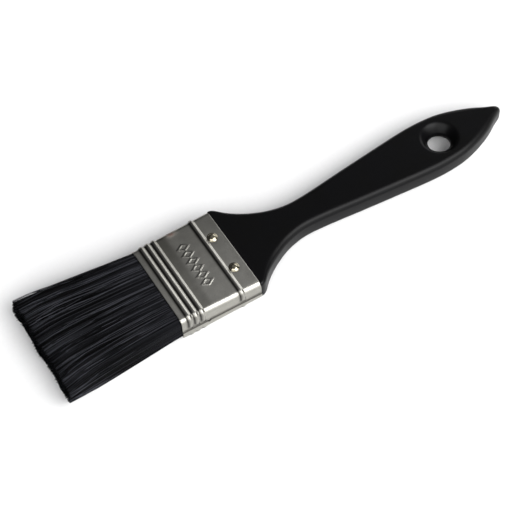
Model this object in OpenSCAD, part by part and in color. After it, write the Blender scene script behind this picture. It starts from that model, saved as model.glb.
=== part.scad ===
// Flat paint brush with a moulded handle, a ribbed metal ferrule and two layers of
// synthetic filament. Every piece is drawn with x measured from the ferrule's mouth
// (towards the handle is positive) and z measured from the brush's middle plane.
// placed() then moves it so that the brush lies flat on z = 0, centred on x = 0, y = 0.

/* [Filament] */
// Free length of the filament, from the ferrule's mouth to the cut tips
filament_out = 48; // [40:1:60]
// Width of the filament across its cut tips
tip_w = 46.8; // [42:0.2:50]
// Thickness of the filament at its cut tips
tip_t = 10.4; // [8:0.2:11]
// Largest thickness of the filament, a third of the way along
belly_t = 12.4; // [12:0.2:12.8]
// How far the filament bends to either side
bend_max = 40; // [15:1:40]

/* [Ferrule] */
// Length of the ferrule along the brush
ferrule_len = 33.6; // [32:0.2:40]
// Width of the ferrule at its mouth, the nominal size of the brush
mouth_w = 38; // [36:0.5:40]
// Thickness of the ferrule at its mouth
mouth_t = 12; // [11.6:0.1:12.4]
// Width of the ferrule at the handle
end_w = 40; // [39.6:0.1:42]
// Thickness of the ferrule at the handle
end_t = 9.4; // [9.2:0.1:10]
// Thickness of the plated sheet
sheet_t = 0.4; // [0.3:0.05:0.5]
// Radius of the ferrule's long edges
corner_r = 1.9; // [1.4:0.1:2.4]
// Height of the pressed ribs above the sheet
rib_h = 0.55; // [0.3:0.05:0.8]

/* [Handle] */
// Length of the handle outside the ferrule
handle_len = 124.8; // [120:0.2:140]
// Thickness of the handle
handle_t = 9.2; // [8.6:0.1:9.2]
// Rounding of the handle's long edges
edge_r = 2.2; // [1.2:0.1:2.4]
// Diameter of the hanging hole
hang_d = 9.1; // [6:0.1:10]
// Diameter of the soft dish around the hanging hole
dish_d = 17.2; // [14:0.2:18]
// Thickness left between the two dishes
web_t = 1.6; // [1.2:0.1:3]

/* [Nails] */
// Distance between the two nails of one face
nail_pitch = 16; // [12:0.5:20]
// Diameter of a nail's domed head
nail_head_d = 4.2; // [3.4:0.1:4.6]
// Diameter of a nail's shank
nail_d = 1.6; // [1.2:0.1:1.8]
// Length of a nail under its head
nail_len = 3.4; // [2.6:0.1:3.6]

/* [Hidden] */

$fn = 48;
eps = 0.01;             // thickness of the slices that a hull joins
shank_gap = 0.02;       // room around a nail's shank

// Ferrule
rib_pitch = 2.65;
rib_x = [3.6, 3.6 + rib_pitch, 3.6 + 2 * rib_pitch, ferrule_len - 7.9];
rib_base = 1.9;         // width of a rib where it leaves the sheet
rib_crest = 0.7;        // width of its flat crest
rib_break = 3;          // height of the side wall that stays without ribs
seam_z = -1.2;          // edge of the outer flap of the overlapped seam
nick_x = 11;            // small nick in that edge
nick_r = 0.5;

// Hinge that stands for the bending filament: a bundle of cantilevers turns about a
// point 15 % of its free length away from where it is held
bend_x = -0.15 * filament_out;
bend_r = 6;             // half the filament's thickness at the hinge
bend_gap = 0.3;         // room around the turning bundle
bend_corner_r = 4;      // rounding of the held layers' long edges

// Pieces inside the ferrule
tenon_len = 14;
tenon_w = 38.2;
tenon_t = 8.5;
tenon_r = 1.6;          // clears the ferrule's inner corners
pocket_len = 6;
pocket_w = 9;
pocket_t = 5;
resin_len = 3.2;
resin_x = ferrule_len - tenon_len - resin_len - 0.1;
spacer_x = 2;
spacer_w = 32;
spacer_t = 3;

// Nails
nail_x = ferrule_len - 4.6;
nail_head_h = 0.95;
nail_point = 1;         // length of the shank's point
taper_angle = atan((mouth_t - end_t) / 2 / ferrule_len);

// Handle outline: distance from the shoulder and half width there. A spline through
// these points gives the shoulder, the neck, the belly and the round nose.
shoulder_w = end_w / 2 - 0.1;
hang_x = handle_len - 29.6;
belly_w = 11.75;
outline = [
    [0, shoulder_w], [1.4, shoulder_w - 0.15], [3, shoulder_w - 1.2], [5.5, 16.3],
    [9, 13.7], [14, 10.8], [20, 8.2], [28, 6.6], [38, 7], [52, 8.5], [68, 10.1],
    [82, 11.4], [handle_len - 34, belly_w], [handle_len - 25, 11.1],
    [handle_len - 17, 9], [handle_len - 10, 6.1], [handle_len - 4.4, 3.3],
    [handle_len - 1.1, 1.7], [handle_len, 0]
];
outline_steps = 3;      // spline pieces between two outline points
edge_steps = 4;         // facets on the rounding of an edge
end_edge_r = 1.3;       // rounding of the edge at the nose and at the shoulder
edge_fade = 12;         // length over which the rounding narrows to the nose

// Place in the part's own frame
mouth_x = filament_out - (filament_out + ferrule_len + handle_len) / 2;
mid_z = half_t(rib_x[0]) + rib_h;

// Half width and half thickness of the ferrule's outside, x from its mouth
function half_w(x) = (mouth_w + (end_w - mouth_w) * x / ferrule_len) / 2;
function half_t(x) = (mouth_t + (end_t - mouth_t) * x / ferrule_len) / 2;

// Catmull-Rom spline between b and c, with neighbours a and d
function spline(a, b, c, d, s) =
    0.5 * (2 * b + (c - a) * s + (2 * a - 5 * b + 4 * c - d) * s * s
    + (3 * b - a - 3 * c + d) * s * s * s);

// One point of the outline, mirrored past the nose and straight before the shoulder
function outline_at(i) =
    i < 0 ? [-outline[1][0], outline[0][1]]
    : i < len(outline) ? outline[i]
    : mirrored(outline[2 * len(outline) - 2 - i]);
function mirrored(p) = [p[0], -p[1]];

// The far side of the outline, then all of it: near side, nose and far side
function side_curve() = [
    for (i = [0 : len(outline) - 2], k = [0 : outline_steps - 1])
        spline(outline_at(i - 1), outline_at(i), outline_at(i + 1), outline_at(i + 2),
            k / outline_steps)
];
function whole_curve(side) = concat(
    [for (p = side) mirrored(p)], [[handle_len, 0]],
    [for (i = [len(side) - 1 : -1 : 0]) side[i]]
);

// Inward direction at point i of a curve; it stays square to the brush at the shoulder
function inward(curve, i) =
    i == 0 ? [0, 1]
    : i == len(curve) - 1 ? [0, -1]
    : let (d = curve[i + 1] - curve[i - 1]) [-d[1], d[0]] / norm(d);

// Soft S shape from 0 to 1
function soft(s) = let (c = max(0, min(1, s))) c * c * (3 - 2 * c);

// Rounding of the edge at a distance x from the shoulder, tighter at both ends
function edge_at(x) =
    end_edge_r + (edge_r - end_edge_r) * soft(x / edge_fade) * soft((handle_len - x) / edge_fade);

// A ring of the handle's skin: angle a runs from -90 (under face) to 90 (top face)
function skin_ring(curve, a, up) = [
    for (i = [0 : len(curve) - 1])
        let (r = edge_at(curve[i][0]), p = curve[i] + inward(curve, i) * r * (1 - cos(a)))
        [p[0], p[1], up * (handle_t / 2 - r) + r * sin(a)]
];

module placed() {
    translate([mouth_x, 0, mid_z]) children();
}

// Skin through a stack of rings that mirror themselves about y = 0 and have an odd
// number of points; strips from side to side close the first and the last ring
function cap(n) = let (m = (n - 1) / 2) concat(
    [for (i = [0 : m - 2]) [i, i + 1, n - 2 - i, n - 1 - i]], [[m - 1, m, m + 1]]
);
module loft(rings) {
    n = len(rings[0]);
    last = len(rings) - 1;
    polyhedron(
        points = [for (ring = rings, p = ring) p],
        faces = concat(
            cap(n),
            [for (face = cap(n)) [for (i = [len(face) - 1 : -1 : 0]) last * n + face[i]]],
            [for (k = [0 : last - 1], i = [0 : n - 1])
                let (j = (i + 1) % n)
                [k * n + i, (k + 1) * n + i, (k + 1) * n + j, k * n + j]]
        ),
        convexity = 6
    );
}

module rounded_rectangle(w, t, r) {
    for (sy = [-1, 1], sz = [-1, 1])
        translate([sy * (w / 2 - r), sz * (t / 2 - r)]) circle(r = r, $fn = 32);
    square([w - 2 * r, t], center = true);
    square([w, t - 2 * r], center = true);
}

// A thin slice of a rounded rectangle, square to the brush at x
module slice(x, w, t, r) {
    translate([x, 0, 0])
        rotate([90, 0, 90])
            linear_extrude(height = eps)
                rounded_rectangle(w, t, r);
}

// The tapered block inside a skin that lies `inset` under the ferrule's outside
module ferrule_block(inset, over) {
    hull() {
        for (x = [-over, ferrule_len + over - eps])
            slice(x, 2 * (half_w(x) - inset), 2 * (half_t(x) - inset), corner_r - inset);
    }
}

module rib(x) {
    w = 2 * half_w(x);
    t = 2 * half_t(x);
    hull() {
        for (s = [-1, 1]) {
            slice(x + s * rib_base / 2, w - 0.1, t - 0.1, corner_r);
            slice(x + s * rib_crest / 2, w + 2 * rib_h, t + 2 * rib_h, corner_r + rib_h);
        }
    }
}

module ribs() {
    difference() {
        for (x = rib_x) rib(x);
        for (s = [-1, 1])
            translate([-1, s * mouth_w - mouth_w / 2, -rib_break / 2])
                cube([ferrule_len + 2, mouth_w, rib_break]);
    }
}

// Outer layer of the overlapped seam on the narrow side
module seam_flap() {
    difference() {
        intersection() {
            translate([0, -sheet_t, 0]) ferrule_block(0, 0);
            translate([0, -end_w, -mouth_t])
                cube([ferrule_len, end_w - mouth_w / 2 + 2 * corner_r, mouth_t + seam_z]);
        }
        translate([nick_x, -mouth_w / 4, seam_z])
            rotate([90, 0, 0])
                cylinder(r = nick_r, h = mouth_w);
    }
}

module ferrule() {
    color("darkgray") placed() difference() {
        union() {
            ferrule_block(0, 0);
            ribs();
            seam_flap();
        }
        ferrule_block(sheet_t, 1);
        nail_holes(nail_d / 2 + shank_gap);
    }
}

// Where a nail sits: front is the upper face, left is the far side; the nail leans
// with the ferrule's taper, so that its head lies flat on the sheet
module at_nail(front, left) {
    mirror([0, 0, front ? 0 : 1])
        translate([nail_x, (left ? 1 : -1) * nail_pitch / 2, half_t(nail_x)])
            rotate([0, taper_angle, 0])
                children();
}

module nail_holes(r) {
    for (front = [true, false], left = [true, false])
        at_nail(front, left)
            translate([0, 0, -nail_len - shank_gap])
                cylinder(r = r, h = nail_len + 2);
}

module nail(front, left) {
    dome_r = (pow(nail_head_d / 2, 2) + pow(nail_head_h, 2)) / (2 * nail_head_h);
    color("gold") placed() at_nail(front, left) {
        intersection() {
            translate([0, 0, nail_head_h - dome_r]) sphere(r = dome_r);
            cylinder(d = nail_head_d, h = nail_head_h);
        }
        translate([0, 0, nail_point - nail_len])
            cylinder(d = nail_d, h = nail_len - nail_point + eps);
        translate([0, 0, -nail_len])
            cylinder(r1 = nail_d / 8, r2 = nail_d / 2, h = nail_point);
    }
}

// The flat, round-edged grip: rings of one skin, closed by two flat faces
module grip() {
    curve = whole_curve(side_curve());
    loft([
        for (up = [-1, 1], k = [0 : edge_steps])
            skin_ring(curve, 90 * (k / edge_steps - (up < 0 ? 1 : 0)), up)
    ]);
}

// One dish of the hanging hole, cut into the upper face
module dish() {
    steps = 10;
    web = web_t / 2;
    face = handle_t / 2;
    rotate_extrude()
        polygon(concat(
            [[0, web]],
            [for (k = [0 : steps])
                [hang_d / 2 + (dish_d - hang_d) / 2 * k / steps,
                    web + (face - web) * soft(k / steps)]],
            [[dish_d / 2, face + 1], [0, face + 1]]
        ));
}

module tenon() {
    difference() {
        translate([ferrule_len - tenon_len, 0, 0])
            rotate([90, 0, 90])
                linear_extrude(height = tenon_len + 1)
                    rounded_rectangle(tenon_w, tenon_t, tenon_r);
        for (k = [-1, 0, 1])
            translate([ferrule_len - tenon_len - 1, k * (pocket_w + 3) - pocket_w / 2,
                -pocket_t / 2])
                cube([pocket_len + 1, pocket_w, pocket_t]);
    }
}

module handle() {
    color("#151517") placed() difference() {
        union() {
            translate([ferrule_len, 0, 0]) grip();
            tenon();
        }
        translate([ferrule_len + hang_x, 0, 0]) {
            cylinder(d = hang_d, h = handle_t, center = true);
            dish();
            mirror([0, 0, 1]) dish();
        }
        nail_holes(nail_d / 2 + shank_gap);
    }
}

module resin_plug() {
    color("#6b4a22") placed()
        translate([resin_x, 0, 0])
            rotate([90, 0, 90])
                linear_extrude(height = resin_len)
                    rounded_rectangle(mouth_w, 2 * half_t(resin_x + resin_len) - 2 * sheet_t - 0.2,
                        corner_r - sheet_t);
}

module spacer_strip() {
    color("#b08a58") placed()
        translate([spacer_x, -spacer_w / 2, -spacer_t / 2])
            cube([resin_x - spacer_x, spacer_w, spacer_t]);
}

// The half of space on one side of the middle plane; front is the upper half
module half_space(front) {
    s = filament_out + ferrule_len;
    translate([-s, -s, front ? eps : -s]) cube([2 * s, 2 * s, s - eps]);
}

module bend_cylinder(r, w) {
    translate([bend_x, 0, 0]) rotate([90, 0, 0]) cylinder(r = r, h = w, center = true);
}

// The held end of one layer: packed inside the ferrule, with a trough for the free end
module filament_root(front) {
    w = mouth_w / 2 - sheet_t - 0.7;
    z_mouth = half_t(0) - sheet_t - 0.05;
    z_butt = half_t(resin_x) - sheet_t - 0.15;
    swell = 1.5;
    swell_w = w + 1.5;
    color("#1c2230") placed() intersection() {
        half_space(front);
        difference() {
            intersection() {
                linear_extrude(height = mouth_t, center = true)
                    polygon([[resin_x, -w], [resin_x, w], [-eps, w], [-swell, swell_w - 0.3],
                        [bend_x, swell_w], [bend_x, -swell_w], [-swell, 0.3 - swell_w],
                        [-eps, -w]]);
                rotate([90, 0, 0])
                    linear_extrude(height = 2 * mouth_w, center = true)
                        polygon([[resin_x, z_butt], [-eps, z_mouth], [-swell, bend_r],
                            [bend_x, bend_r], [bend_x, -bend_r], [-swell, -bend_r],
                            [-eps, -z_mouth], [resin_x, -z_butt]]);
                translate([bend_x, 0, 0])
                    rotate([90, 0, 90])
                        linear_extrude(height = resin_x - bend_x)
                            rounded_rectangle(2 * swell_w, 2 * bend_r, bend_corner_r);
            }
            translate([spacer_x, -spacer_w / 2, -spacer_t / 2])
                cube([ferrule_len, spacer_w, spacer_t]);
            bend_cylinder(bend_r + bend_gap, 2 * mouth_w);
            for (s = [-1, 1])
                translate([bend_x, -mouth_w, 0])
                    rotate([0, s * bend_max, 0])
                        translate([-bend_r * 3, 0, -bend_r - bend_gap])
                            cube([bend_r * 3, 2 * mouth_w, 2 * (bend_r + bend_gap)]);
        }
    }
}

// The free end of one layer, from the hinge to the cut tips
module filament_head(front) {
    w1 = mouth_w / 2 + 0.4;
    belly_x = -filament_out * 0.33;
    color("#10131c") placed() intersection() {
        half_space(front);
        union() {
            bend_cylinder(bend_r, 2 * w1);
            intersection() {
                linear_extrude(height = mouth_w, center = true)
                    polygon([[bend_x, -w1], [bend_x, w1], [-filament_out, tip_w / 2],
                        [-filament_out, -tip_w / 2]]);
                rotate([90, 0, 0])
                    linear_extrude(height = 2 * tip_w, center = true)
                        polygon([[bend_x, -bend_r], [bend_x, bend_r], [belly_x, belly_t / 2],
                            [-filament_out, tip_t / 2], [-filament_out, -tip_t / 2],
                            [belly_x, -belly_t / 2]]);
            }
        }
    }
}

handle();
ferrule();
nail(true, true);  // nail_front_left
nail(true, false);  // nail_front_right
nail(false, true);  // nail_back_left
nail(false, false);  // nail_back_right
spacer_strip();
resin_plug();
filament_root(true);  // filament_root_front
filament_root(false);  // filament_root_back
filament_head(true);  // filament_head_front
filament_head(false);  // filament_head_back
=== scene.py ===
# %% [markdown]
# # A flat paint brush
# The brush has a black moulded handle, a pressed and plated sheet ferrule, four nails and
# a pack of fine black filament that bends. The CAD model gives every position. This
# lesson gives each piece its finished surface and its material, one piece at a time.

# %% Load the CAD frame
import math

import bmesh
import bpy
import numpy as np
from mathutils import Matrix, Vector


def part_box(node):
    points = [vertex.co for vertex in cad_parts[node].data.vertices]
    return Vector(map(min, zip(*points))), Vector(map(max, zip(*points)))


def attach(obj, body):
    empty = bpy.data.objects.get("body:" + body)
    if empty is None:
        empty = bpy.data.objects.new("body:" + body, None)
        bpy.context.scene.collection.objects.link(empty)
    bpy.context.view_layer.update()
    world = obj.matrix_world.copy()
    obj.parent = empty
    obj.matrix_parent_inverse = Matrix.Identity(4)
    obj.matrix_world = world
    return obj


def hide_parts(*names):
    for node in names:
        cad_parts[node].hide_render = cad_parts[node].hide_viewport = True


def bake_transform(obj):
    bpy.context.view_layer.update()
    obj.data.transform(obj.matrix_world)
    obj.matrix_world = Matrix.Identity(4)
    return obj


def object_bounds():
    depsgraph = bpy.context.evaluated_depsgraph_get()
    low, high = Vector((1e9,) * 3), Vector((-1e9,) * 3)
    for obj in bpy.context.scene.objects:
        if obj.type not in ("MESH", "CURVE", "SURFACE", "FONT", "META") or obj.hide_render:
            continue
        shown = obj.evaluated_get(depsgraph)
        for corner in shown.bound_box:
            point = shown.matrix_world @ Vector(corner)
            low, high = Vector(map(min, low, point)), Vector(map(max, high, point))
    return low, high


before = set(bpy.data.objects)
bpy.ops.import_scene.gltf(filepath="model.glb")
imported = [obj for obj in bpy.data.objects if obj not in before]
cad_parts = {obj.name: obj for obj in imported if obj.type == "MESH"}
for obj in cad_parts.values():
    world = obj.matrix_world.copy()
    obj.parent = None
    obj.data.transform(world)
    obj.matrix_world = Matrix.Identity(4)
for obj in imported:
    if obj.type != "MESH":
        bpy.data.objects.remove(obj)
cad_low, cad_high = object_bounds()

MM = 0.001
ferrule_low, ferrule_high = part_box("ferrule")
handle_low, handle_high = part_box("handle")
mouth_x = ferrule_low.x / MM
middle_z = (handle_low.z + handle_high.z) / 2 / MM
ferrule_len = (ferrule_high.x - ferrule_low.x) / MM
handle_len = (handle_high.x - ferrule_high.x) / MM
filament_out = (ferrule_low.x - cad_low.x) / MM
print(f"mouth at x = {mouth_x:.2f} mm, middle plane at z = {middle_z:.2f} mm")
print(f"filament {filament_out:.1f}, ferrule {ferrule_len:.1f}, handle {handle_len:.1f} mm")

# %% [markdown]
# The camera looks down on the brush from the near left. Three angles and a distance give
# its place: it looks along +Y turned a little to +X, down at the floor, with a small roll.
# A long lens keeps the perspective gentle.

# %% Camera
azimuth, elevation, roll = map(math.radians, (28.23, 56.61, -4.14))
distance = 560.5 * MM
target = Vector((-15.2, -5.5, middle_z)) * MM

forward = Vector((math.cos(elevation) * math.sin(azimuth),
                  math.cos(elevation) * math.cos(azimuth),
                  -math.sin(elevation)))
level_right = forward.cross(Vector((0, 0, 1))).normalized()
level_up = level_right.cross(forward)
right = math.cos(roll) * level_right + math.sin(roll) * level_up
up = right.cross(forward)

camera = bpy.data.objects.new("camera", bpy.data.cameras.new("camera"))
bpy.context.scene.collection.objects.link(camera)
camera.data.sensor_width = 36
camera.data.lens = 103.76
camera.matrix_world = Matrix.LocRotScale(
    target - forward * distance, Matrix((right, up, -forward)).transposed(), None)
bpy.context.scene.camera = camera
bpy.context.scene.view_settings.view_transform = "Standard"
print("camera at", [round(v, 3) for v in camera.matrix_world.translation])

# %% [markdown]
# A material's pattern is arithmetic on numbers that change over the surface. Writing it
# as Python arithmetic is easier to read than a list of nodes and links, so a small class
# wraps a socket, and its operators add the Math nodes.


# %% Arithmetic on sockets
class Wire:
    """An output socket. Arithmetic on it adds a Math node and gives that node's wire."""

    def __init__(self, tree, socket):
        self.tree = tree
        self.socket = socket

    def math(self, operation, first, second):
        return self.tree.node("ShaderNodeMath", {"operation": operation}, (first, second))

    def __add__(self, other):
        return self.math("ADD", self, other)

    def __sub__(self, other):
        return self.math("SUBTRACT", self, other)

    def __rsub__(self, other):
        return self.math("SUBTRACT", other, self)

    def __mul__(self, other):
        return self.math("MULTIPLY", self, other)

    __radd__ = __add__
    __rmul__ = __mul__


class Tree:
    """A material whose nodes are added one by one, from its coordinates to its shader."""

    def __init__(self, name):
        self.material = bpy.data.materials.new(name)
        self.material.use_nodes = True
        self.nodes = self.material.node_tree.nodes
        self.links = self.material.node_tree.links
        self.nodes.clear()

    def node(self, kind, settings=None, values=(), output=0):
        """Adds a node: first its settings, then the value or the wire of each socket."""
        made = self.nodes.new(kind)
        for key, value in (settings or {}).items():
            if key == "stops":
                self.fill_ramp(made.color_ramp, value)
            else:
                setattr(made, key, value)
        pairs = values.items() if isinstance(values, dict) else enumerate(values)
        for key, value in pairs:
            if isinstance(value, Wire):
                self.links.new(value.socket, made.inputs[key])
            else:
                made.inputs[key].default_value = value
        return Wire(self, made.outputs[output]) if made.outputs else None

    def fill_ramp(self, ramp, stops):
        """Stops are (place, grey level) pairs."""
        for _ in stops[2:]:
            ramp.elements.new(0.5)
        for element, (place, level) in zip(ramp.elements, stops):
            element.position = place
            element.color = (level, level, level, 1)

    def place(self, scale=(1, 1, 1)):
        """Object coordinates in millimetres, each axis stretched by scale."""
        metres = self.node("ShaderNodeTexCoord", output=3)
        scale_mm = [s / MM for s in scale]
        return self.node("ShaderNodeMapping", None, {"Vector": metres, "Scale": scale_mm})

    def noise(self, size, where=None, detail=3.0, rough=0.55):
        """Cloudy noise from 0 to 1 whose blobs are about size millimetres across."""
        return self.node("ShaderNodeTexNoise", None, {
            "Vector": where or self.place(), "Scale": 1 / size,
            "Detail": detail, "Roughness": rough})

    def ramp(self, value, *stops):
        """A soft threshold: grey levels at places between 0 and 1."""
        return self.node("ShaderNodeValToRGB", {"stops": stops}, (value,))

    def mix(self, mask, first, second):
        """Colour first where the mask is 0, second where it is 1."""
        colours = [c if isinstance(c, Wire) else (*c, 1) for c in (first, second)]
        return self.node("ShaderNodeMix", {"data_type": "RGBA"},
                         {0: mask, 6: colours[0], 7: colours[1]}, output=2)

    def attribute(self, name):
        return self.node("ShaderNodeAttribute", {"attribute_name": name}, output=2)

    def bump(self, height, depth):
        """Surface relief of height times depth millimetres."""
        return self.node("ShaderNodeBump", None, {
            "Height": height, "Distance": depth * MM, "Strength": 1.0})

    def finish(self, values):
        """The one shader, with its constants and its wires, and the output."""
        shader = self.node("ShaderNodeBsdfPrincipled", None, values)
        self.node("ShaderNodeOutputMaterial", None, {"Surface": shader})
        print("material", self.material.name, "has", len(self.nodes), "nodes")
        return self.material


# %% [markdown]
# The floor is a plain pale sheet. A very soft sun from the near left whitens it without
# showing in the flat top faces, and a second one, lower in front, softens the near edges.
# A box above the near side draws the long highlight on the near edges, a low box at the
# handle's end lights the slopes of the ribs that face it, and a wide dim box above the far
# side is what the flat metal mirrors.


# %% Floor and lights
def floor_material():
    """Matt pale card with a trace of fibre."""
    t = Tree("pale_card")
    fibre = t.noise(1.5, detail=4)
    return t.finish({
        "Base Color": t.mix(fibre, (0.83, 0.83, 0.83), (0.87, 0.87, 0.87)),
        "Roughness": 0.9,
        "Specular IOR Level": 0.1})


def soft_box(name, direction, away, width, height, radiance):
    """A rectangular light that faces the brush; its power is pi times area times radiance."""
    light = bpy.data.lights.new(name, "AREA")
    light.shape = "RECTANGLE"
    light.size, light.size_y = width, height
    light.energy = math.pi * width * height * radiance
    lamp = bpy.data.objects.new(name, light)
    lamp.location = Vector(direction).normalized() * away
    lamp.rotation_euler = Vector(direction).to_track_quat("Z", "Y").to_euler()
    bpy.context.scene.collection.objects.link(lamp)


def soft_sun(name, direction, strength):
    """Light from one side of the sky, spread over sixty degrees."""
    sun = bpy.data.objects.new(name, bpy.data.lights.new(name, "SUN"))
    sun.data.energy = strength
    sun.data.angle = math.radians(60)
    sun.rotation_euler = Vector(direction).to_track_quat("Z", "Y").to_euler()
    bpy.context.scene.collection.objects.link(sun)


bpy.ops.mesh.primitive_plane_add(size=12, location=(0, 0, -0.0001))
floor = bpy.context.object
floor.name = "floor"
floor.data.materials.append(floor_material())

soft_box("near_box", (0.36, -0.58, 0.73), 1.0, 0.90, 0.66, 5.0)
soft_box("side_box", (0.80, 0.46, 0.34), 1.0, 0.8, 0.5, 1.9)
soft_box("far_box", (0.24, 0.26, 0.93), 1.2, 1.3, 1.1, 0.215)
soft_sun("left_sun", (-0.62, -0.58, 0.53), 2.4)
soft_sun("front_sun", (0.30, -0.86, 0.40), 2.0)

world = bpy.data.worlds.new("studio")
world.use_nodes = True
world.node_tree.nodes["Background"].inputs["Color"].default_value = (0.07, 0.07, 0.075, 1)
bpy.context.scene.world = world
print("floor and", len(bpy.data.lights), "lights")

# %% [markdown]
# Every new piece is a set of points and faces worked out with numpy. A grid of rows and
# columns becomes faces by one rule. Points that meet at a seam or a pole are merged, and
# only then are the faces turned outwards.


# %% Grids and pieces
def soft(s):
    """Smooth step: 3 s^2 - 2 s^3 with s held between 0 and 1."""
    c = np.clip(s, 0.0, 1.0)
    return c * c * (3 - 2 * c)


def grid_faces(rows, columns, closed=False):
    """Four corners of each cell of a grid; closed also joins the last column to the first."""
    i = np.arange(rows - 1)[:, None]
    j = np.arange(columns if closed else columns - 1)[None, :]
    k = (j + 1) % columns
    corners = (i * columns + j, i * columns + k, (i + 1) * columns + k, (i + 1) * columns + j)
    return np.stack(corners, axis=-1).reshape(-1, 4)


def to_frame(points):
    """Millimetres from the ferrule's mouth and the middle plane, to the frame's metres."""
    return (np.asarray(points).reshape(-1, 3) + (mouth_x, 0, middle_z)) * MM


def make_piece(name, points, faces, material, merge=0.0005):
    """A closed, smooth piece; merge is how close two points are to become one, in mm."""
    mesh = bpy.data.meshes.new(name)
    mesh.from_pydata(to_frame(points).tolist(), [], [list(map(int, f)) for f in faces])
    if merge:
        shape = bmesh.new()
        shape.from_mesh(mesh)
        bmesh.ops.remove_doubles(shape, verts=shape.verts, dist=merge * MM)
        bmesh.ops.dissolve_degenerate(shape, edges=shape.edges, dist=merge * MM)
        bmesh.ops.recalc_face_normals(shape, faces=shape.faces)
        open_edges = sum(not e.is_manifold for e in shape.edges)
        shape.to_mesh(mesh)
        shape.free()
        print(name, "has", open_edges, "open edges")
    mesh.shade_smooth()
    mesh.materials.append(material)
    piece = bpy.data.objects.new(name, mesh)
    bpy.context.scene.collection.objects.link(piece)
    print(name, "has", sum(len(p.vertices) - 2 for p in mesh.polygons), "triangles")
    return piece


# %% [markdown]
# The handle is one moulding in black plastic. Its surface is satin: a very fine grain from
# the mould, faint wipe marks along its length and a few lighter specks.


# %% Handle material
def handle_plastic():
    """Near-black plastic; roughness carries the wipe marks, and bump mostly the grain."""
    t = Tree("black_moulded_plastic")
    clouds = t.noise(14, detail=2)
    wipes = t.noise(0.5, t.place((0.05, 1, 1)), detail=4)
    grain = t.noise(0.16, detail=2)
    specks = t.ramp(t.noise(0.55, detail=1), (0.76, 0), (0.80, 1))
    tint = t.mix(clouds, (0.0016, 0.0015, 0.0012), (0.0011, 0.0012, 0.0020))
    return t.finish({
        "Base Color": t.mix(specks * 0.25, tint, (0.03, 0.03, 0.03)),
        "Roughness": 0.28 + clouds * 0.08 + wipes * 0.08,
        "Specular IOR Level": 0.13,
        "Normal": t.bump(grain * 0.7 + wipes * 0.3, 0.010)})


# %% [markdown]
# The handle's outline runs from the ferrule's end through broad shoulders, a slim neck and
# a full belly to a rounded nose. A Catmull-Rom spline through a few points draws it. The
# surface is a stack of rings: across the top face, round the edge, down the side wall and
# back. Each outline point has a partner inside: on the hanging hole's circle near the
# nose, or on the middle line elsewhere, so one grid makes face, dish and hole. Behind the
# hole the partners slide round the circle to its rear, where the middle line starts.

# %% Handle outline
outline = np.array([
    (0, 19.9), (1.4, 19.75), (3, 18.7), (5.5, 16.3), (9, 13.7), (14, 10.8), (20, 8.2),
    (28, 6.6), (38, 7.0), (52, 8.5), (68, 10.1), (82, 11.4), (handle_len - 34, 11.75),
    (handle_len - 25, 11.1), (handle_len - 17, 9.1), (handle_len - 10, 6.35),
    (handle_len - 4.4, 3.15), (handle_len - 1.9, 1.85), (handle_len - 0.5, 1.0), (handle_len, 0)])
hang_x = handle_len - 29.6
hang_r = 4.55
dish_r = 8.3
half_web = 0.8
half_t = (handle_high.z - handle_low.z) / 2 / MM
# the edge's radius at the belly, the shoulder and the nose, and how far each change takes
edge_r = 2.5
shoulder_r = 1.3
nose_r = 3.3
edge_fade = 12
nose_fade = 24
# partners lie on the hole's circle from circle_end to the nose; from swing_start backwards
# they slide round to the circle's rear, over swing_len
circle_end = hang_x - 16
swing_start = hang_x - 3
swing_len = 10
tenon_half_w = 19.1
tenon_half_t = 4.25
tenon_len = 14


def spline(points, pieces):
    """Catmull-Rom: each stretch is a cubic set by its two ends and their neighbours."""
    before = points[0] * 2 - points[1]
    before[1] = points[0, 1]
    after = points[-2] * (1, -1)
    p = np.vstack([before, points, after])
    s = (np.arange(pieces) / pieces)[None, :, None]
    a, b, c, d = (p[k:len(p) - 3 + k, None, :] for k in range(4))
    curve = 0.5 * (2 * b + (c - a) * s + (2 * a - 5 * b + 4 * c - d) * s ** 2
                   + (3 * b - a - 3 * c + d) * s ** 3)
    return np.vstack([curve.reshape(-1, 2), points[-1]])


far_side = spline(outline, 8)
near_side = far_side[:-1] * (1, -1)
edge = np.vstack([near_side, far_side[::-1]])
along = np.gradient(edge, axis=0)
inward = np.column_stack([-along[:, 1], along[:, 0]])
inward /= np.linalg.norm(inward, axis=1)[:, None]
inward[0], inward[-1] = (0, 1), (0, -1)
print("outline has", len(edge), "points, widest half", round(edge[:, 1].max(), 2), "mm")


# %% Handle surface
def partner_ray():
    """The way from the hole's centre to each outline point's partner on its circle: towards
    the point itself, and behind the hole swinging round to its rear."""
    swing = soft((swing_start - edge[:, 0]) / swing_len)
    gaze = np.arctan2(edge[:, 1], edge[:, 0] - hang_x)
    gaze = gaze + (np.copysign(math.pi, edge[:, 1]) - gaze) * swing
    return np.column_stack([np.cos(gaze), np.sin(gaze)])


def edge_inset(rim):
    """How far and which way the rounded edge reaches in from the outline, and its radius.
    It goes straight in; towards the nose it gets rounder and leans to the hole."""
    nose = soft((edge[:, 0] - handle_len + nose_fade) / nose_fade)[:, None]
    r = shoulder_r + (edge_r - shoulder_r) * soft(edge[:, :1] / edge_fade)
    r += (nose_r - r) * nose
    to_rim = rim - edge
    to_rim /= np.linalg.norm(to_rim, axis=1)[:, None]
    inset = inward * (1 - nose) + to_rim * nose
    inset *= r / np.linalg.norm(inset, axis=1)[:, None]
    return inset, r[:, 0]


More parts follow.
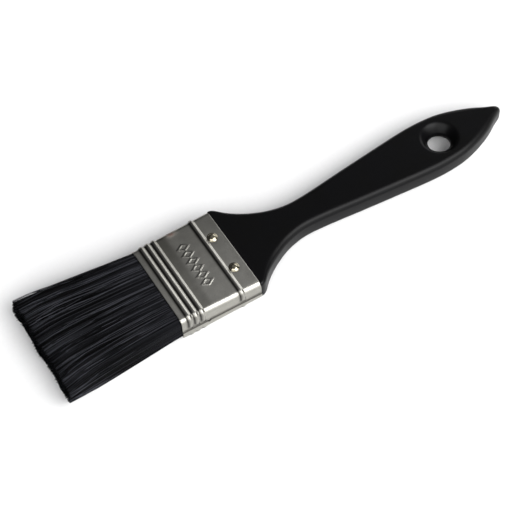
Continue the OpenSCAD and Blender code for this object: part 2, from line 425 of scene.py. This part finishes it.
def handle_rings():
    """Rows of (x, y, z): up the hole's soft lip, which is a quarter of a sine wave, across
    the flat top face, round the edge, which is a quarter of a circle, and to mid side."""
    on_circle = edge[:, 0] > circle_end
    ray = partner_ray()
    middle_line = np.column_stack([edge[:, 0], np.zeros(len(edge))])
    rows = []

    def add(flat, z):
        rows.append(np.column_stack([flat, np.broadcast_to(z, len(edge))]))

    for s in np.linspace(0, 1, 15):
        circle = ray * (hang_r + (dish_r - hang_r) * s) + (hang_x, 0)
        lip_z = half_web + (half_t - half_web) * math.sin(math.pi / 2 * s)
        add(np.where(on_circle[:, None], circle, middle_line),
            np.where(on_circle, lip_z, half_t))
    rim = rows[-1][:, :2]
    inset, r = edge_inset(rim)
    for s in (0.04, 0.35, 0.7, 0.93):
        add(rim + (edge + inset - rim) * s, half_t)
    for a in np.radians(np.linspace(90, 0, 10)):
        add(edge + inset * (1 - math.cos(a)), half_t - r * (1 - math.sin(a)))
    add(edge, 0.0)
    return np.array(rows), on_circle


def make_handle():
    """Both halves of the skin, the hole's wall, and the tenon drawn out of the shoulder."""
    top, on_circle = handle_rings()
    bottom = top[-2::-1] * (1, 1, -1)
    skin = np.vstack([top, bottom])
    rows, columns = skin.shape[:2]
    cells = grid_faces(rows, columns)
    on_middle = np.abs(skin.reshape(-1, 3)[:, 1]) < 1e-6
    faces = cells[~on_middle[cells].all(axis=1)].tolist()
    wall = np.flatnonzero(on_circle[:-1] & on_circle[1:])
    last = (rows - 1) * columns
    faces += np.column_stack([wall, wall + 1, last + wall + 1, last + wall]).tolist()
    rim = np.concatenate([np.arange(rows) * columns,
                          np.arange(rows - 1, -1, -1) * columns + columns - 1])
    flat = skin.reshape(-1, 3)
    tenon = flat[rim] * (1, tenon_half_w / outline[0, 1], tenon_half_t / half_t)
    inner = tenon - (tenon_len, 0, 0)
    points = np.vstack([flat, tenon, inner]) + (ferrule_len, 0, 0)
    first = len(flat)
    m = len(rim)
    k = np.arange(m)
    step = (k + 1) % m
    faces += np.column_stack([rim, rim[step], first + step, first + k]).tolist()
    faces += np.column_stack([first + k, first + step, first + m + step, first + m + k]).tolist()
    faces.append((first + m + k).tolist())
    return make_piece("handle_moulding", points, faces, handle_plastic())


handle = make_handle()
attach(handle, "brush")
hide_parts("handle")

# %% [markdown]
# The ferrule is a band of thin plated steel. It has three ribs near its mouth, one bead
# near the handle and a row of raised marks. Its two ends overlap on the near narrow side.
# The plating is satin, with scuffs and one speck of rust; shade is painted into the
# creases, towards the far edge and on the narrow sides.


# %% Sheet material
def plated_sheet():
    """Metal whose roughness and colour drift in patches. Shade is painted into the creases,
    towards the far edge and on the narrow sides.
    """
    t = Tree("plated_steel_sheet")
    patches = t.noise(4.0, detail=5, rough=0.65)
    pits = t.noise(0.45, detail=3, rough=0.7)
    scuffs = t.ramp(t.noise(0.35, t.place((0.12, 1, 1)), detail=3), (0.62, 0), (0.72, 1))
    crease = t.attribute("crease")
    rust = t.attribute("rust") * t.ramp(t.noise(0.5), (0.32, 0), (0.50, 1))
    tarnish = patches * 0.5 + pits * 0.5
    bright = t.mix(tarnish, (0.27, 0.262, 0.235), (0.74, 0.73, 0.675))
    # Painted shade: darker towards the far edge, beyond the ribs and on the narrow sides.
    far_shaded = t.mix(t.attribute("patina") * 0.72, bright, (0.10, 0.095, 0.08))
    # Painted shade: darker beside the ribs, along the overlap's edge and on the marks.
    crease_shaded = t.mix(crease * 0.96, far_shaded, (0.02, 0.018, 0.016))
    return t.finish({
        "Base Color": t.mix(rust * 0.9, crease_shaded, (0.07, 0.018, 0.008)),
        "Metallic": 1.0 - rust * 0.9,
        "Roughness": 0.24 + patches * 0.12 + scuffs * 0.12 + rust * 0.4,
        "Normal": t.bump(pits * 0.5 + patches * 1.2, 0.03)})


# %% [markdown]
# The sheet's cross-section is a rounded rectangle that gets wider and thinner towards the
# handle. Each column of the grid keeps its share of width, its share of thickness and the
# direction it faces, so any row is that outline at its own size, pushed out along those
# directions by the ribs, the overlap and the marks.

# %% Ferrule sizes
mouth_w = 38.0
mouth_t = 12.0
end_w = 40.0
end_t = 9.4
corner_r = 2.3
sheet_t = 0.4
rib_places = np.array([3.6, 6.25, 8.9, ferrule_len - 7.9])
rib_half = 1.3
seam_z = -1.2
seam_steps = (0.35, 0.05, -0.05, -0.35)
flap_t = 0.38
nick_x = 11.0
nick_half = 0.4
nick_deep = 0.55
nail_x = ferrule_len - 4.6
nail_y = 8.0
dent_r = 2.6
dent_deep = 0.14


def half_w(x):
    """Half width of the sheet's cross-section: a straight line from mouth to end."""
    return (mouth_w + (end_w - mouth_w) * x / ferrule_len) / 2


def half_th(x):
    """Half thickness of the cross-section, a straight line too."""
    return (mouth_t + (end_t - mouth_t) * x / ferrule_len) / 2


rib_h = (ferrule_high.z - ferrule_low.z) / 2 / MM - half_th(rib_places[0])
print(f"ribs stand {rib_h:.2f} mm proud")


def ferrule_columns():
    """Once round the outline: share of width, share of thickness, and the way it faces.
    Four columns of each narrow side lie close to the seam, two above and two below it."""
    arc = np.radians(np.linspace(0, 90, 9))[1:-1]
    across = np.linspace(-1, 1, 131)
    flat_side = mouth_t / 2 - corner_r
    seam = (seam_z + np.array(seam_steps)) / flat_side
    level = np.concatenate([np.linspace(1, 0.1, 8), seam, np.linspace(-0.72, -1, 4)])
    parts = []
    sides = ((across, 1), (1, level), (-across, -1), (-1, level[::-1]))
    for quarter, (wide, thick) in enumerate(sides):
        a = math.radians(90 - 90 * quarter)
        shares = np.broadcast_arrays(wide, thick, math.cos(a), math.sin(a))
        parts.append(np.column_stack([np.ravel(s) for s in shares]))
        corner = np.broadcast_to(parts[-1][-1, :2], (len(arc), 2))
        parts.append(np.column_stack([corner, np.cos(a - arc), np.sin(a - arc)]))
    return np.vstack(parts)


# %% [markdown]
# The band's rows run from mouth to end, over the rim and back inside, so that the sheet's
# thickness shows at both rims. They lie close together only where the relief needs them,
# and the seam's own columns stay level while the sheet tapers.

# %% Rows of the ferrule
rim_steps = np.array([0.10, 0.0, 0.0, 0.10])
rim_sinks = np.array([0.03, 0.12, 0.28, 0.37])
rim_len = 0.25


def outer_rows():
    """Places along the sheet: close together on ribs and marks, and at both rims."""
    places = [np.linspace(rim_len, 2.4, 6)]
    for r in rib_places:
        places.append(r + np.linspace(-rib_half, rib_half, 15))
    places.append(np.linspace(10.3, 11.7, 9))
    places.append(np.linspace(12.2, 14.0, 4))
    places.append(np.linspace(14.2, 20.2, 37))
    places.append(np.linspace(20.4, ferrule_len - rim_len, 40))
    return np.unique(np.concatenate(places).round(3))


def band_rows():
    """Each row's place along the sheet, and how far it lies under the outer skin: out along
    the outer wall, round the end rim, back along the inner wall, round the mouth rim."""
    outer = outer_rows()
    inner = np.linspace(ferrule_len - rim_len, rim_len, 12)
    x = np.concatenate([outer, ferrule_len - rim_steps, inner, rim_steps])
    sink = np.concatenate([
        np.zeros(len(outer)), rim_sinks, np.full(len(inner), sheet_t), rim_sinks[::-1]])
    return x[:, None], sink[:, None]


print(len(outer_rows()), "rows along the outer wall")


def nick(x):
    """How far the seam's edge dips: a bell curve round the nick's place."""
    return nick_deep * np.exp(-((x - nick_x) / nick_half) ** 2)


def plain_band(x, wide, thick, ny, nz):
    """Rounded rectangles of each row's own size. The seam's own columns run level along
    the sheet instead, and the lower ones dip at the nick."""
    y = wide * (half_w(x) - corner_r) + corner_r * ny
    z = thick * (half_th(x) - corner_r) + corner_r * nz
    for step in seam_steps:
        share = (seam_z + step) / (mouth_t / 2 - corner_r)
        at_seam = (ny < -0.99) & (np.abs(thick - share) < 1e-9)
        z = np.where(at_seam, seam_z + step - nick(x) * (step < 0.1), z)
    return y, z


# %% [markdown]
# Ribs and marks are pressed into the sheet. Here all of it is one height over the outer
# skin: every kind of relief is a smooth function of the place, and their heights are
# added. The sheet stays one closed mesh, with nothing to join.

# %% Ferrule relief
mark_count = 6
mark_x = 17.2
mark_y = 0.6
mark_pitch = 3.6
mark_long = 2.9
mark_wide = 1.75
mark_h = 0.30
ridge_at = 0.78
ridge_half = 0.24
marked_half = 13
print(f"{mark_count} marks, each {2 * mark_long * ridge_at:.1f} mm along the sheet and"
      f" {2 * mark_wide * ridge_at:.1f} mm across, from ridge to ridge")


def ribs(x):
    """Raised cosine waves: half of 1 + cos over each rib's width."""
    d = np.clip(np.abs(x - rib_places) / rib_half, 0, 1)
    return (0.5 + 0.5 * np.cos(math.pi * d)).max(axis=1, keepdims=True)


def marks(x, y, nz):
    """A row of raised lozenges on the front face: a soft ridge follows the line where the
    stretched distance from a lozenge's centre, |u| + |v|, is a constant."""
    height = np.zeros(np.broadcast(x, y).shape)
    for k in range(mark_count):
        u = (x - mark_x) / mark_long
        v = (y - (k - (mark_count - 1) / 2) * mark_pitch - mark_y) / mark_wide
        ridge = np.exp(-((np.abs(u) + np.abs(v) - ridge_at) / ridge_half) ** 4)
        height = np.maximum(height, ridge)
    return height * ((nz > 0.99) & (np.abs(y) < marked_half))


def near_fade(z):
    """Share of a rib on the near narrow side: it fades out down to the overlap."""
    return soft((z + 0.7) / 1.8)


def relief(x, y, z, ny, nz):
    """How far the outer skin stands out. Ribs are whole on the faces and fade out on the
    narrow sides and under the overlap, the sheet sinks round each nail, and the overlap
    is one more thickness of sheet below the seam on the near narrow side."""
    near = ny < -0.99
    under = (ny < 0) & (nz < 0) & ~near
    far_fade = soft((np.abs(z) - 0.8) / 1.2)
    ribbed = np.where(near, near_fade(z), np.where(ny > 0.99, far_fade, 1.0))
    ribbed = np.where(under, soft(-nz), ribbed)
    rise = rib_h * ribs(x) * ribbed + mark_h * marks(x, y, nz)
    for side in (-1, 1):
        away = np.hypot(x - nail_x, y - side * nail_y)
        rise -= dent_deep * np.exp(-(away / dent_r) ** 4) * (np.abs(nz) > 0.99)
    flap = near & (z < seam_z - nick(x))
    return rise + flap_t * (flap + under * np.clip(-ny, 0, 1))


# %% [markdown]
# Shade is painted into the plating's colour. The ribs, the seam and the marks say where
# painted shade darkens the creases, and two smooth functions of the place set the painted
# shade towards the far edge and on the narrow sides, and the speck of rust. Each point of
# the mesh gets a number for each of the three, and the material reads them.

# %% Painted shade and rust of the ferrule
valley_half = 0.55
rust_x = 16.3
rust_y = 17.6
print("one speck of rust,", rust_x, "mm from the mouth and", rust_y, "mm from the middle")


def painted_crease_shade(x, y, z, ny, nz):
    """Painted shade beside the ribs, along the overlap's edge and, less, on the marks."""
    near = ny < -0.99
    foot = x - rib_places + rib_half * 0.8
    valley = np.exp(-(foot / valley_half) ** 2).max(axis=1, keepdims=True)
    beside_ribs = valley * np.where(near, near_fade(z), np.abs(nz) > 0)
    above_edge = 1 - np.clip((z - seam_z) / 0.4, 0, 1)
    at_edge = near * above_edge * (z > seam_z - nick(x) - 0.1)
    on_marks = soft((marks(x, y, nz) - 0.1) * 4) * 0.35
    return np.maximum(np.maximum(beside_ribs, at_edge), on_marks)


def shade_by_side(x, y, ny):
    """Painted shade: darker towards the far edge, beyond the ribs and on narrow sides."""
    on_face = 0.62 * soft((y + 14) / 34) + 0.5 * np.exp(-((x - 11.6) / 2.4) ** 4)
    return np.where(np.abs(ny) > 0.5, 0.55, on_face)


def rust_spot(x, y, nz):
    """An oval bell curve on the front face: it fades over 1.8 mm along the sheet and over
    1.2 mm across it."""
    return np.exp(-((x - rust_x) / 1.8) ** 2 - ((y - rust_y) / 1.2) ** 2) * (nz > 0.3)


# %% Ferrule surface
def add_layer(piece, name, values):
    """One number for each point of a mesh, for the material to read."""
    layer = piece.data.attributes.new(name, "FLOAT", "POINT")
    layer.data.foreach_set("value", values.ravel().astype(np.float32))


def make_ferrule():
    """The band's last row joins its first, so outer and inner wall close on each other."""
    wide, thick, ny, nz = ferrule_columns().T
    x, sink = band_rows()
    y, z = plain_band(x, wide, thick, ny, nz)
    rise = relief(x, y, z, ny, nz) * (sink < sheet_t / 2) - sink
    places = (np.broadcast_to(x, y.shape), y + rise * ny, z + rise * nz)
    rows, columns = y.shape
    j = np.arange(columns)
    k = (j + 1) % columns
    last = (rows - 1) * columns
    join = np.column_stack([last + j, last + k, k, j])
    faces = np.vstack([grid_faces(rows, columns, closed=True), join]).tolist()
    piece = make_piece("ferrule_band", np.stack(places, axis=-1), faces,
                       plated_sheet(), merge=0)
    # These numbers paint shade into the creases, towards the far edge and on the narrow sides,
    # and mark the rust.
    add_layer(piece, "crease", painted_crease_shade(x, y, z, ny, nz))
    add_layer(piece, "rust", rust_spot(x, y, nz))
    add_layer(piece, "patina", shade_by_side(x, y, ny))
    return piece


ferrule = make_ferrule()
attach(ferrule, "brush")
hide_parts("ferrule")

# %% [markdown]
# Four nails hold the ferrule to the tenon, two in each face. A nail is a turned shape: a
# low polished dome with a thin rim, and a pointed shank that goes down into the tenon.


# %% Nails
def nail_metal():
    """Bright, slightly warm plating with tiny dents and duller rubbed patches."""
    t = Tree("polished_nail_metal")
    dents = t.noise(0.6, detail=2)
    rubbed = t.noise(0.25, detail=3)
    return t.finish({
        "Base Color": t.mix(rubbed, (0.48, 0.44, 0.34), (0.22, 0.20, 0.15)),
        "Metallic": 1.0,
        "Roughness": 0.10 + rubbed * 0.14,
        "Normal": t.bump(dents, 0.05)})


nail_steps = 40
nail_top = 0.95
dome_foot = 0.16
dome_r = 1.75
head_r = 2.1
shank_r = 0.8


def turned(profile, steps):
    """Carries (radius, height) points round the height's axis."""
    a = np.linspace(0, 2 * math.pi, steps, endpoint=False)
    radius, height = np.asarray(profile, float).T
    return np.stack([radius[:, None] * np.cos(a), radius[:, None] * np.sin(a),
                     np.broadcast_to(height[:, None], (len(height), steps))], axis=-1)


def nail_profile():
    """A shallow dome on a thin rim, then the shank and its point."""
    a = np.radians(np.linspace(0, 62, 9))
    drop = (1 - np.cos(a)) / (1 - math.cos(a[-1]))
    dome = np.column_stack([
        dome_r * np.sin(a) / math.sin(a[-1]), nail_top - (nail_top - dome_foot) * drop])
    return np.vstack([dome, [(1.95, 0.10), (head_r, 0.02), (head_r, -0.12), (shank_r, -0.12),
                             (shank_r, -2.4), (0.1, -3.4), (0, -3.4)]])


def make_nail(name, up_side, far_side_sign, metal):
    """The turned shape leans with the ferrule's taper; the back face's nails are mirrored."""
    shape = turned(nail_profile(), nail_steps)
    lean = math.atan((mouth_t - end_t) / 2 / ferrule_len)
    x, y, z = np.moveaxis(shape, -1, 0)
    points = np.stack([nail_x + x * math.cos(lean) + z * math.sin(lean),
                       y + far_side_sign * nail_y,
                       (half_th(nail_x) - x * math.sin(lean) + z * math.cos(lean)) * up_side],
                      axis=-1)
    faces = grid_faces(len(shape), nail_steps, closed=True).tolist()
    piece = make_piece(name + "_turned", points, faces, metal)
    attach(piece, "brush")
    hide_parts(name)


metal = nail_metal()
for face, up_side in (("front", 1), ("back", -1)):
    for side, sign in (("left", 1), ("right", -1)):
        make_nail(f"nail_{face}_{side}", up_side, sign, metal)

# %% [markdown]
# Inside the ferrule a sawn wood strip splits the filament into two layers, and a plug of
# set resin holds the butt ends. Both are hidden, and their CAD shapes are right as they
# are, so they only get their own finish.


# %% Hidden pieces
def sawn_wood():
    """Pale softwood: growth rings stretched along the strip."""
    t = Tree("sawn_spacer_wood")
    rings = t.noise(1.2, t.place((0.08, 1, 1)), detail=4)
    pores = t.noise(0.2, t.place((0.1, 1, 1)), detail=2)
    return t.finish({
        "Base Color": t.mix(rings, (0.50, 0.35, 0.20), (0.68, 0.52, 0.33)),
        "Roughness": 0.6 + pores * 0.25,
        "Normal": t.bump(pores, 0.06)})


def set_resin():
    """Amber resin with cloudy depth and a glossy skin."""
    t = Tree("set_resin")
    cloud = t.noise(2.0, detail=4)
    return t.finish({
        "Base Color": t.mix(cloud, (0.20, 0.10, 0.03), (0.36, 0.22, 0.09)),
        "Roughness": 0.2 + cloud * 0.2,
        "Normal": t.bump(cloud, 0.08)})


for node, material in (("spacer_strip", sawn_wood()), ("resin_plug", set_resin())):
    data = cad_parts[node].data
    data.materials.clear()
    data.materials.append(material)

# %% [markdown]
# The filament is the brush itself: thousands of strands, each about a fifth of a
# millimetre thick and tapered to its tip. A hair system would vanish in the export, so the
# strands are three-sided tubes in a few large meshes, thicker and fewer than the real ones.
# The pack's half widths and its thickness are smooth curves of the distance from the mouth,
# and every strand keeps its own place in the pack all the way, apart from its waves and the
# lock that it leans to.


# %% Filament material
def black_filament():
    """Blue-black nylon, its own tone per strand, with a painted highlight by the ferrule."""
    t = Tree("black_filament")
    tone = t.attribute("tone")
    # Painted highlight: the strands are paler and bluer where they rise out of the ferrule.
    root = t.attribute("root")
    streaks = t.noise(0.8, t.place((0.04, 1, 1)), detail=3)
    body = t.mix(tone, (0.0002, 0.0002, 0.0003), (0.056, 0.058, 0.068))
    return t.finish({
        "Base Color": t.mix(root * 0.42, body, (0.013, 0.0135, 0.0165)),
        "Roughness": 0.48 - tone * 0.2 + streaks * 0.1,
        "Specular IOR Level": 0.05})


# %% Shape of the pack
def far_half(u):
    """Half width on the far side: wider at the tips, where the pack leans over."""
    return 19.0 + 0.075 * u + 0.0012 * u ** 2


def near_half(u):
    """Half width on the near side, which spreads less."""
    return 18.6 + 0.030 * u + 0.0006 * u ** 2


def pack_half(u):
    """Half thickness: the pack swells out of the mouth and thins towards the tips."""
    return 5.45 + 0.058 * u - 0.00132 * u ** 2


def tuck(u):
    """Share of the thickness that is left: the pack closes in over its last 10 mm."""
    return 1 - 0.36 * soft((u - filament_out + 10) / 11)


def pack_place(u, a, b):
    """Distance u from the mouth and shares a, b of width and thickness, to x, y, z."""
    y = (far_half(u) + near_half(u)) / 2 * a + (far_half(u) - near_half(u)) / 2
    return np.stack([-u, y, pack_half(u) * b * tuck(u)], axis=-1)


print(f"at the tips {far_half(filament_out):.1f} mm to the far side,"
      f" {near_half(filament_out):.1f} mm to the near side")


def pack_shares(spacing, rng):
    """Shares (a, b) of a jittered grid of strands that fills a rounded rectangle."""
    w, t, r = 18.6, 5.5, 2.4
    ys = np.arange(-w, w, spacing)
    zs = np.arange(-t, t, spacing * 0.9)
    y, z = (g.ravel() + rng.uniform(-0.5, 0.5, g.size) * spacing for g in np.meshgrid(ys, zs))
    out = np.hypot(np.maximum(np.abs(y) - (w - r), 0), np.maximum(np.abs(z) - (t - r), 0))
    inside = (out < r) & (np.abs(y) < w) & (np.abs(z) < t)
    return np.column_stack([y[inside] / w, z[inside] / t])


# %% [markdown]
# A strand is a stack of small triangles. All strands of a mesh are worked out at once, as
# whole arrays: the lock that each one leans to, its length, its waves, and the three points
# of each of its rings. The seed makes the random numbers the same in every run.

# %% Strands
# closer together where the pack bends
ring_u = np.array([-3, 0.5, 4, 8, 12, 16.5, 21, 25.5, 30, 36, 42, filament_out])


def gather(shares, rng, locks):
    """The lock that each strand leans to, which is the nearest, and the way to its middle.
    Shares of the width count more, as the pack is over three times as wide as thick."""
    a, b = shares.T
    middles = rng.uniform(-1.07, 1.07, (locks, 2))
    gap = (a[:, None] - middles[:, 0]) ** 2 * 11 + (b[:, None] - middles[:, 1]) ** 2
    lock = gap.argmin(axis=1)
    return lock, middles[lock] - shares


def ring_places(shares, lock, rng, locks):
    """Each ring's distance from the mouth. Lengths differ a little by lock and by strand,
    lower strands are longer, and two sines across the width make the tips uneven."""
    a, b = shares.T
    by_lock = rng.normal(0, 0.06, locks)[lock]
    by_strand = rng.normal(0, 0.2, len(shares))
    length = filament_out - 0.1 + by_lock + by_strand - 0.7 * b
    length += 0.25 * np.sin(a * 7 + 1.0) + 0.10 * np.sin(a * 17)
    return np.where(ring_u > 0, ring_u * (length / filament_out)[:, None], ring_u)


def centre_lines(shares, pull, u, rng, root_r, wander):
    """Each strand leans to its lock, and waves across the width and the thickness are
    sines that grow with the distance from the mouth. The pack's outline holds them in."""
    n = len(shares)
    lean = soft((u + 2) / 22) * rng.uniform(0.15, 0.5, n)[:, None]
    a, b = (shares[:, k, None] + pull[:, k, None] * lean for k in (0, 1))
    centre = pack_place(u, a, b)
    phase = rng.uniform(0, 2 * math.pi, (4, n, 1))
    beat = rng.uniform(18, 46, (2, n, 1))
    slant = rng.normal(0, 0.008, (2, n, 1)) * wander
    grow = soft((ring_u + 3) / filament_out)
    for axis, k in ((1, 0), (2, 1)):
        size = rng.normal(0, 0.14, (n, 1)) * wander
        centre[..., axis] += grow * size * np.sin(2 * math.pi * u / beat[k] + phase[k])
        centre[..., axis] += slant[k] * np.maximum(u, 0)
    thick = pack_half(u) * tuck(u) + 0.1
    centre[..., 2] = np.clip(centre[..., 2], -thick, thick)
    centre[..., 1] = np.clip(centre[..., 1], root_r - near_half(u), far_half(u) - root_r)
    return centre, phase[2]


def tube_points(centre, u, turn, root_r):
    """Three points a third of a turn apart round each ring's centre; the tube tapers."""
    radius = root_r * (1 - 0.35 * np.clip(u / filament_out, 0, 1) ** 1.5)
    spin = turn + np.arange(3) * 2 * math.pi / 3
    ring = np.stack([np.zeros_like(spin), np.cos(spin), np.sin(spin)], axis=-1)
    return centre[:, :, None, :] + radius[:, :, None, None] * ring[:, None, :, :]


def tube_faces(count):
    """Three sides between two rings, and one small face that closes each tip."""
    rings = len(ring_u)
    first = (np.arange(count) * rings * 3)[:, None]
    sides = (grid_faces(rings, 3, closed=True)[None] + first[:, :, None]).reshape(-1, 4)
    tips = first + (rings - 1) * 3 + np.arange(3)
    return sides.tolist() + tips[:, ::-1].tolist()


def make_strands(name, shares, seed, root_r=0.18, wander=1.0, locks=1300, tone_of=(0.20, 2.4)):
    """One mesh of strands. A strand's tone is part its lock's and part its own, doubled
    towards the tip for flagged ends and for painted glints where the strands curl over, and
    root says how near the ferrule a point is, for the highlight painted there."""
    rng = np.random.default_rng(seed)
    lock, pull = gather(shares, rng, locks)
    u = ring_places(shares, lock, rng, locks)
    centre, turn = centre_lines(shares, pull, u, rng, root_r, wander)
    tone = 0.35 * rng.beta(*tone_of, locks)[lock] + 0.65 * rng.beta(*tone_of, len(shares))
    piece = make_piece(name, tube_points(centre, u, turn, root_r), tube_faces(len(shares)),
                       filament_finish, merge=0)
    # Paler towards the tips: flagged ends, and painted glints where the strands curl over.
    add_layer(piece, "tone", np.repeat(tone[:, None] * (1 + soft((u - 30) / 14)), 3))
    # How near the ferrule a point is, for the highlight painted there.
    add_layer(piece, "root", np.repeat(soft(1 - u / 26), 3))
    return piece


# %% Filament pack
def bend_with_brush(piece):
    """Bakes the piece's placement into its points."""
    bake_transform(piece)


filament_finish = black_filament()
rng = np.random.default_rng(38)
shares = pack_shares(0.31, rng)
front = shares[shares[:, 1] >= 0]
back = shares[shares[:, 1] < 0]
print(len(front), "strands in the front layer and", len(back), "in the back layer")
for name, layer, seed in (("front", front, 5), ("back", back, 6)):
    piece = make_strands(f"filament_strands_{name}", layer, seed)
    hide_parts(f"filament_root_{name}", f"filament_head_{name}")
    bend_with_brush(piece)

# %% [markdown]
# About a hundred strands on the outside wander more than the rest. They cross the others
# and catch the light one by one.


# %% Loose strands
def skin_shares(count, rng):
    """Shares on the pack's outside: most on the two faces, some on the narrow sides, and
    none at its rounded corners."""
    a = rng.uniform(-0.87, 0.87, count)
    b = np.where(rng.random(count) < 0.6, 1.0, -1.0) * rng.uniform(0.96, 1.0, count)
    narrow = rng.random(count) < 0.2
    side = np.where(rng.random(count) < 0.5, 0.96, -0.96)
    return np.column_stack([np.where(narrow, side, a), np.where(narrow, b * 0.6, b)])


loose = make_strands("filament_strands_loose", skin_shares(130, rng), 7,
                     root_r=0.15, wander=2.6, tone_of=(3.0, 1.2))
bend_with_brush(loose)

# %% [markdown]
# Between the strands there is only shadow. A dark heart inside the pack stands for the
# strands that nobody can see, so that no light leaks through from below; its near-black
# colour is painted shade.


# %% Heart of the pack
def painted_pack_shade():
    """Painted shade of the deep pack: almost black, with fine streaks along the strands."""
    t = Tree("painted_pack_shade")
    streaks = t.noise(0.3, t.place((0.02, 1, 1)), detail=3)
    return t.finish({
        "Base Color": t.mix(streaks, (0.0010, 0.0011, 0.0016), (0.003, 0.0033, 0.0045)),
        "Roughness": 0.5 + streaks * 0.3,
        "Specular IOR Level": 0.2,
        "Normal": t.bump(streaks, 0.2)})


heart_wide = 0.95
heart_thick = 0.86
squareness = 0.28


def squared(wave):
    """A sine or cosine raised to a small power, so that a circle becomes nearly square."""
    return np.sign(wave) * np.abs(wave) ** squareness


def make_heart():
    """Rounded-rectangle rings from the ferrule to just short of the tips."""
    u = np.concatenate([[-3.0, 0, 4], np.linspace(8, filament_out - 2.5, 10)])
    turn = np.linspace(0, 2 * math.pi, 96, endpoint=False)
    a = heart_wide * squared(np.cos(turn))
    b = heart_thick * squared(np.sin(turn))
    points = pack_place(u[:, None] * np.ones(len(turn)), a, b)
    rows, columns = points.shape[:2]
    faces = grid_faces(rows, columns, closed=True).tolist()
    faces.append(list(range(columns)))
    faces.append([(rows - 1) * columns + k for k in range(columns)][::-1])
    return make_piece("filament_heart", points, faces, painted_pack_shade())


heart = make_heart()
bend_with_brush(heart)

# %% [markdown]
# The last step prints the CAD box.

# %% CAD box
print("CAD box", [round(v / MM, 1) for v in (*cad_low, *cad_high)])
